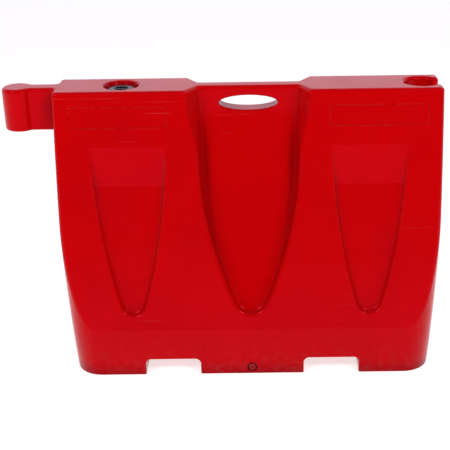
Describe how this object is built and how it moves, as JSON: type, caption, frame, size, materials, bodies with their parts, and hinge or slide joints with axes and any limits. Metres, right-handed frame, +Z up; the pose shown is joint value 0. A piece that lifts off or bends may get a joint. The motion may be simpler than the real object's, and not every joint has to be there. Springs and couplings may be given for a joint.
{
  "type": "water-filled road barrier module",
  "caption": "Hollow interlocking road barrier module with fork slots, a hand hole, an end knuckle and socket, a screwed filler cap and a screwed drain plug.",
  "frame": {"origin": "centre of the tank's base on the ground", "axes": "+X along the barrier towards the socket end, -Y the face with the drain plug, +Z up"},
  "size_m": [1.141, 0.41, 0.75],
  "materials": {
    "red_shell": "glossy moulded polyethylene, lightly scuffed",
    "black_insert": "matt black moulded insert",
    "seal_rubber": "matt black rubber",
    "black_cap": "glossy black",
    "red_plug": "glossy red"
  },
  "bodies": {
    "shell": {"body_shell": "red_shell", "filler_ring": "black_insert", "drain_insert": "black_insert"},
    "cap_lift": {"cap_seal": "seal_rubber"},
    "cap": {"fill_cap": "black_cap"},
    "plug_lift": {"drain_seal": "seal_rubber"},
    "plug": {"drain_plug": "red_plug"}
  },
  "joints": [
    {"name": "cap_slide", "type": "slide", "parent": "shell", "child": "cap_lift", "axis": [0, 0, 1], "range_m": [0, 0.016]},
    {"name": "cap_turn", "type": "hinge", "parent": "cap_lift", "child": "cap", "pos_m": [-0.33, 0, 0.732], "axis": [0, 0, 1], "range_deg": [0, 900]},
    {"name": "plug_slide", "type": "slide", "parent": "shell", "child": "plug_lift", "axis": [0, -1, 0], "range_m": [0, 0.011]},
    {"name": "plug_turn", "type": "hinge", "parent": "plug_lift", "child": "plug", "pos_m": [0, -0.198, 0.02], "axis": [0, -1, 0], "range_deg": [0, 900]}
  ],
  "couplings": [
    {"joint": "cap_slide", "follows": "cap_turn", "m_per_rad": 0.00095493},
    {"joint": "plug_slide", "follows": "plug_turn", "m_per_rad": 0.00063662}
  ]
}
